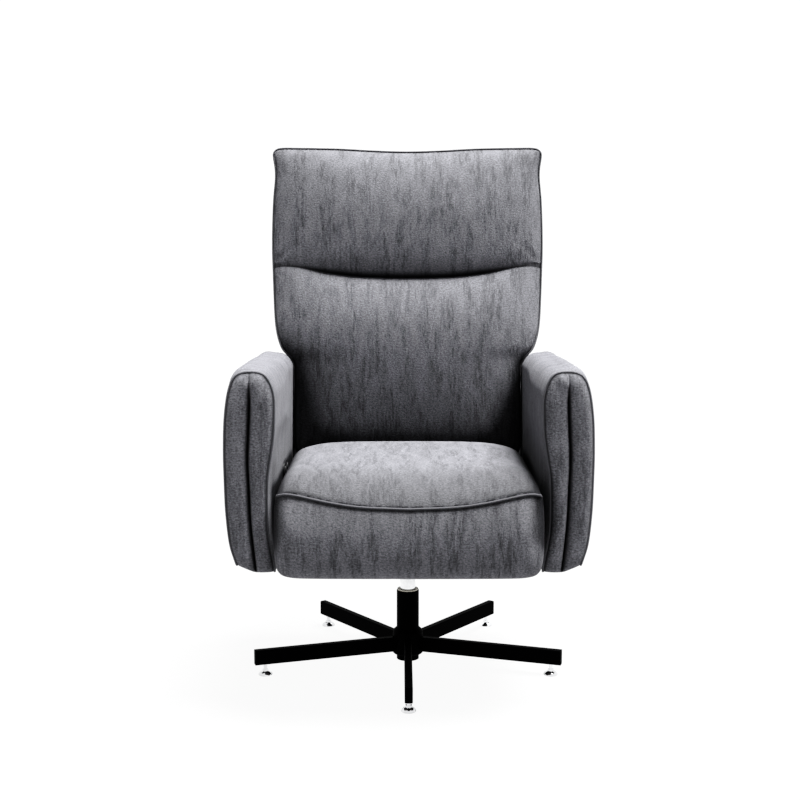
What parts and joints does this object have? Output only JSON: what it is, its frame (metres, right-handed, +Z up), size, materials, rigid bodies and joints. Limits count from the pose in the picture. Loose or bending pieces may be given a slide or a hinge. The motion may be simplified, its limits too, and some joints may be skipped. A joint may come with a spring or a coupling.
{
  "type": "swivel recliner",
  "caption": "Upholstered swivel recliner on a star base, with a push-button back and footrest, a tilting headrest, padded arms and levelling glides",
  "frame": {"origin": "on the floor, under the swivel axis", "axes": "+Z up, the chair faces -Y, the sitter's left is +X"},
  "size_m": [0.7108, 0.821, 1.1294],
  "materials": {
    "upholstery": "matte",
    "black_metal": "satin",
    "chrome": "polished",
    "steel": "satin",
    "plywood": "matte",
    "nylon": "satin",
    "black_plastic": "matte",
    "webbing": "matte",
    "underside_cloth": "matte"
  },
  "bodies": {
    "base": {"hub_sleeve": "black_metal", "base_legs": "black_metal", "leg_end_caps": "black_plastic", "glide_nuts": "steel", "bush_upper": "nylon", "bush_lower": "nylon", "hub_floor": "black_metal", "thrust_bearing": "steel"},
    "front_glide": {"glide_front": "chrome"},
    "front_right_glide": {"glide_front_right": "chrome"},
    "front_left_glide": {"glide_front_left": "chrome"},
    "rear_right_glide": {"glide_rear_right": "chrome"},
    "rear_left_glide": {"glide_rear_left": "chrome"},
    "seat": {"swivel_post": "chrome", "retaining_bolt": "steel", "swivel_plate": "black_metal", "plate_bolts": "steel", "bearers": "black_metal", "seat_rails": "black_metal", "cross_tubes": "black_metal", "seat_webbing": "webbing", "underside_cover": "underside_cloth", "rear_skirt": "upholstery", "recline_brackets": "black_metal", "recline_pins": "steel", "footrest_brackets": "black_metal", "footrest_pins": "steel", "slide_guides": "nylon", "actuator_motor": "black_plastic", "actuator_tube": "black_plastic", "actuator_mount": "black_metal", "seat_cushion": "upholstery", "arm_frame_left": "plywood", "arm_frame_right": "plywood", "arm_pad_left": "upholstery", "arm_pad_right": "upholstery", "arm_spacers": "plywood", "arm_bolts": "steel", "control_panel": "black_plastic"},
    "carriage": {"drive_bars": "steel", "drive_pins": "steel", "drive_cross_bar": "steel", "actuator_rod": "steel"},
    "footrest": {"footrest_arms": "steel", "footrest_board": "plywood", "footrest_pad": "upholstery"},
    "back": {"back_levers": "steel", "back_frame": "black_metal", "back_webbing": "webbing", "back_cushion": "upholstery", "back_shell": "upholstery", "head_hinge_lowers": "steel", "head_hinge_pins": "steel"},
    "headrest": {"head_hinge_arms": "steel", "head_board": "plywood", "head_cushion": "upholstery", "head_shell": "upholstery"},
    "recline_button": {"button_recline": "black_plastic"},
    "upright_button": {"button_upright": "black_plastic"}
  },
  "joints": [
    {"name": "swivel", "type": "hinge", "parent": "base", "child": "seat", "pos_m": [0, 0, 0.15], "axis": [0, 0, 1], "continuous": true},
    {"name": "front_glide_screw", "type": "slide", "parent": "base", "child": "front_glide", "axis": [0, 0, 1], "range_m": [-0.01, 0.007]},
    {"name": "front_right_glide_screw", "type": "slide", "parent": "base", "child": "front_right_glide", "axis": [0, 0, 1], "range_m": [-0.01, 0.007]},
    {"name": "front_left_glide_screw", "type": "slide", "parent": "base", "child": "front_left_glide", "axis": [0, 0, 1], "range_m": [-0.01, 0.007]},
    {"name": "rear_right_glide_screw", "type": "slide", "parent": "base", "child": "rear_right_glide", "axis": [0, 0, 1], "range_m": [-0.01, 0.007]},
    {"name": "rear_left_glide_screw", "type": "slide", "parent": "base", "child": "rear_left_glide", "axis": [0, 0, 1], "range_m": [-0.01, 0.007]},
    {"name": "recline", "type": "hinge", "parent": "seat", "child": "back", "pos_m": [0, 0.195, 0.405], "axis": [-1, 0, 0], "range_deg": [0, 32]},
    {"name": "footrest_lift", "type": "hinge", "parent": "seat", "child": "footrest", "pos_m": [0, -0.37, 0.412], "axis": [-1, 0, 0], "range_deg": [0, 85]},
    {"name": "drive_travel", "type": "slide", "parent": "seat", "child": "carriage", "axis": [0, -1, 0], "range_m": [0, 0.0459]},
    {"name": "head_tilt", "type": "hinge", "parent": "back", "child": "headrest", "pos_m": [0, 0.3188, 0.83498], "axis": [1, 0, 0], "range_deg": [0, 20]},
    {"name": "recline_press", "type": "slide", "parent": "seat", "child": "recline_button", "axis": [-1, 0, 0], "range_m": [0, 0.0015], "stiffness_N_per_m": 400},
    {"name": "upright_press", "type": "slide", "parent": "seat", "child": "upright_button", "axis": [-1, 0, 0], "range_m": [0, 0.0015], "stiffness_N_per_m": 400}
  ],
  "couplings": [
    {"joint": "footrest_lift", "follows": "recline", "ratio": 2.6562},
    {"joint": "drive_travel", "follows": "recline", "m_per_rad": 0.082147}
  ]
}
